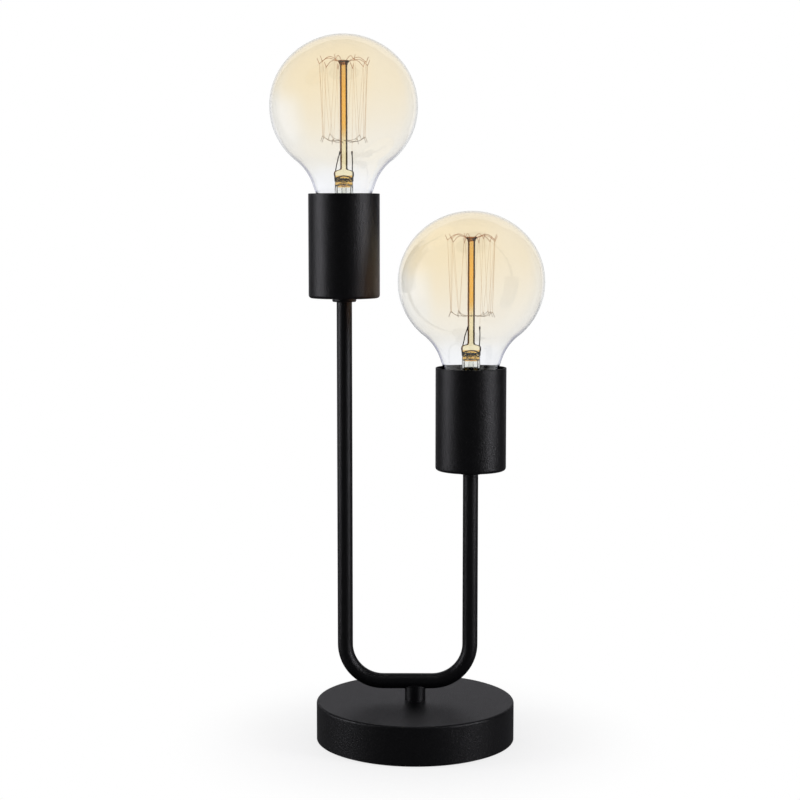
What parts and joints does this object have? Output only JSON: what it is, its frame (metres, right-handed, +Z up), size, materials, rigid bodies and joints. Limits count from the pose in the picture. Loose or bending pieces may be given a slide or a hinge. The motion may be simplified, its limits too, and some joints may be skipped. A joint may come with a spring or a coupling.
{
  "type": "table lamp",
  "caption": "Table lamp: a U of bent tube on a weighted round base, with a globe bulb in a cylindrical cup on each arm at different heights.",
  "frame": {"origin": "centre of the round base's underside, where the lamp rests on a surface", "axes": "+Z up, +X towards the shorter arm, +Y towards the cord inlet at the back of the base"},
  "size_m": [0.177, 0.1315, 0.459],
  "materials": {
    "black_powder_coat": "satin black powder coat",
    "cast_iron": "bare sand casting",
    "foam_pad": "black closed-cell foam",
    "black_rubber": "moulded",
    "natural_plastic": "moulded nylon",
    "zinc_steel": "zinc plated",
    "black_phenolic": "moulded",
    "steatite": "unglazed ceramic",
    "brass": "stamped",
    "brown_insulation": "extruded",
    "blue_insulation": "extruded",
    "amber_glass": "clear with an amber coat that fades at the neck",
    "mount_glass": "drawn glass",
    "support_wire": "drawn wire, browned",
    "filament": "fine drawn wire",
    "lead_wire": "drawn wire, darkened",
    "nickel_cap": "nickel plated",
    "black_insulator": "black pressed glass",
    "solder": "dull solder"
  },
  "bodies": {
    "lamp": {"base_shell": "black_powder_coat", "base_weight": "cast_iron", "base_pad": "foam_pad", "cord_grommet": "black_rubber", "terminal_block": "natural_plastic", "terminal_block_screws": "zinc_steel", "frame_tube": "black_powder_coat", "frame_post": "black_powder_coat", "post_washer": "zinc_steel", "post_nut": "zinc_steel", "left_ring_nut": "black_powder_coat", "left_cup": "black_powder_coat", "left_entry_bush": "zinc_steel", "left_holder_cap": "black_phenolic", "left_holder_core": "steatite", "left_holder_screws": "brass", "left_screw_shell": "brass", "left_centre_contact": "brass", "left_holder_sleeve": "black_phenolic", "left_live_core": "brown_insulation", "left_neutral_core": "blue_insulation", "right_ring_nut": "black_powder_coat", "right_cup": "black_powder_coat", "right_entry_bush": "zinc_steel", "right_holder_cap": "black_phenolic", "right_holder_core": "steatite", "right_holder_screws": "brass", "right_screw_shell": "brass", "right_centre_contact": "brass", "right_holder_sleeve": "black_phenolic", "right_live_core": "brown_insulation", "right_neutral_core": "blue_insulation"},
    "left_bulb_tip_end": {"left_bulb_insulator": "black_insulator", "left_bulb_tip": "solder"},
    "left_bulb_body": {"left_bulb_glass": "amber_glass", "left_bulb_mount": "mount_glass", "left_bulb_supports": "support_wire", "left_bulb_filament": "filament", "left_bulb_leads": "lead_wire", "left_bulb_cap": "nickel_cap"},
    "right_bulb_tip_end": {"right_bulb_insulator": "black_insulator", "right_bulb_tip": "solder"},
    "right_bulb_body": {"right_bulb_glass": "amber_glass", "right_bulb_mount": "mount_glass", "right_bulb_supports": "support_wire", "right_bulb_filament": "filament", "right_bulb_leads": "lead_wire", "right_bulb_cap": "nickel_cap"}
  },
  "joints": [
    {"name": "left_bulb_lift", "type": "slide", "parent": "lamp", "child": "left_bulb_tip_end", "axis": [0, 0, 1], "range_m": [0, 0.02]},
    {"name": "left_bulb_turn", "type": "hinge", "parent": "left_bulb_tip_end", "child": "left_bulb_body", "pos_m": [-0.046, 0, 0.35], "axis": [0, 0, 1], "range_deg": [0, 1980]},
    {"name": "right_bulb_lift", "type": "slide", "parent": "lamp", "child": "right_bulb_tip_end", "axis": [0, 0, 1], "range_m": [0, 0.02]},
    {"name": "right_bulb_turn", "type": "hinge", "parent": "right_bulb_tip_end", "child": "right_bulb_body", "pos_m": [0.036, 0, 0.238], "axis": [0, 0, 1], "range_deg": [0, 1980]}
  ],
  "couplings": [
    {"joint": "left_bulb_lift", "follows": "left_bulb_turn", "m_per_rad": 0.00057757},
    {"joint": "right_bulb_lift", "follows": "right_bulb_turn", "m_per_rad": 0.00057757}
  ]
}
